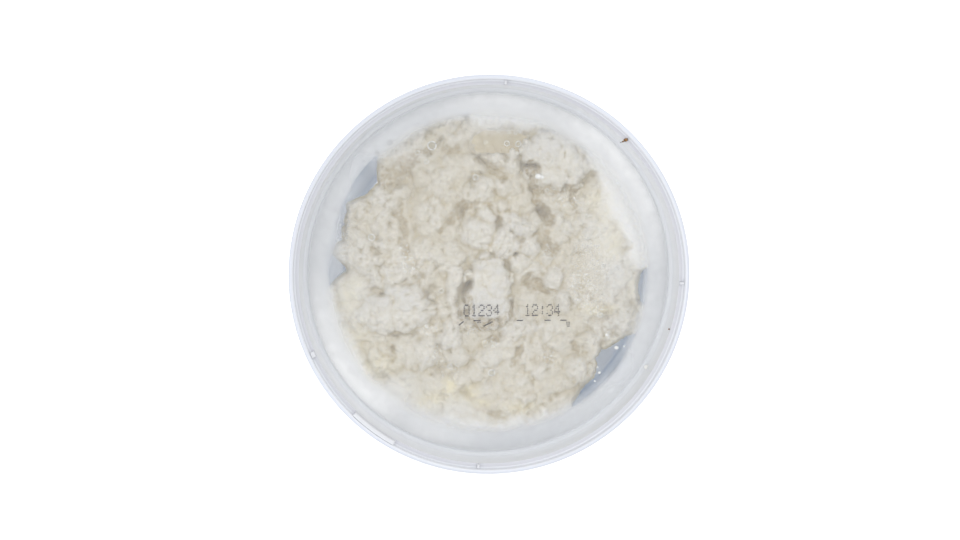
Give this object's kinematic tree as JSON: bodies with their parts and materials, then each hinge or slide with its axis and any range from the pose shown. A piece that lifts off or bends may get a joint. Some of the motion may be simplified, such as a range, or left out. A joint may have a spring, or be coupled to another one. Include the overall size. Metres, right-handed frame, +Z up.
{
  "type": "tub of ricotta",
  "caption": "Round tapered plastic tub filled with lumpy fresh ricotta, under a clear recessed press-on lid.",
  "frame": {"origin": "middle of the foot ring, on the plane the tub stands on", "axes": "+Z up out of the lid along the tub's own axis; +X and +Y across the lid, with the dot-printed code reading along +X and its top towards +Y"},
  "size_m": [0.11, 0.11, 0.057],
  "materials": {
    "tub_plastic": "milky translucent polypropylene",
    "label_print": "printed film wrapped round the wall",
    "curd": "moist fresh curd, matt with a wet sheen",
    "lid_plastic": "clear moulded plastic, misted inside",
    "whey": "thin cloudy whey",
    "water": "condensed drops",
    "ink": "dot-printed ink",
    "dirt": "dried brown speck"
  },
  "bodies": {
    "root": {"tub": "tub_plastic", "label": "label_print", "ricotta": "curd", "lid": "lid_plastic"}
  },
  "joints": []
}
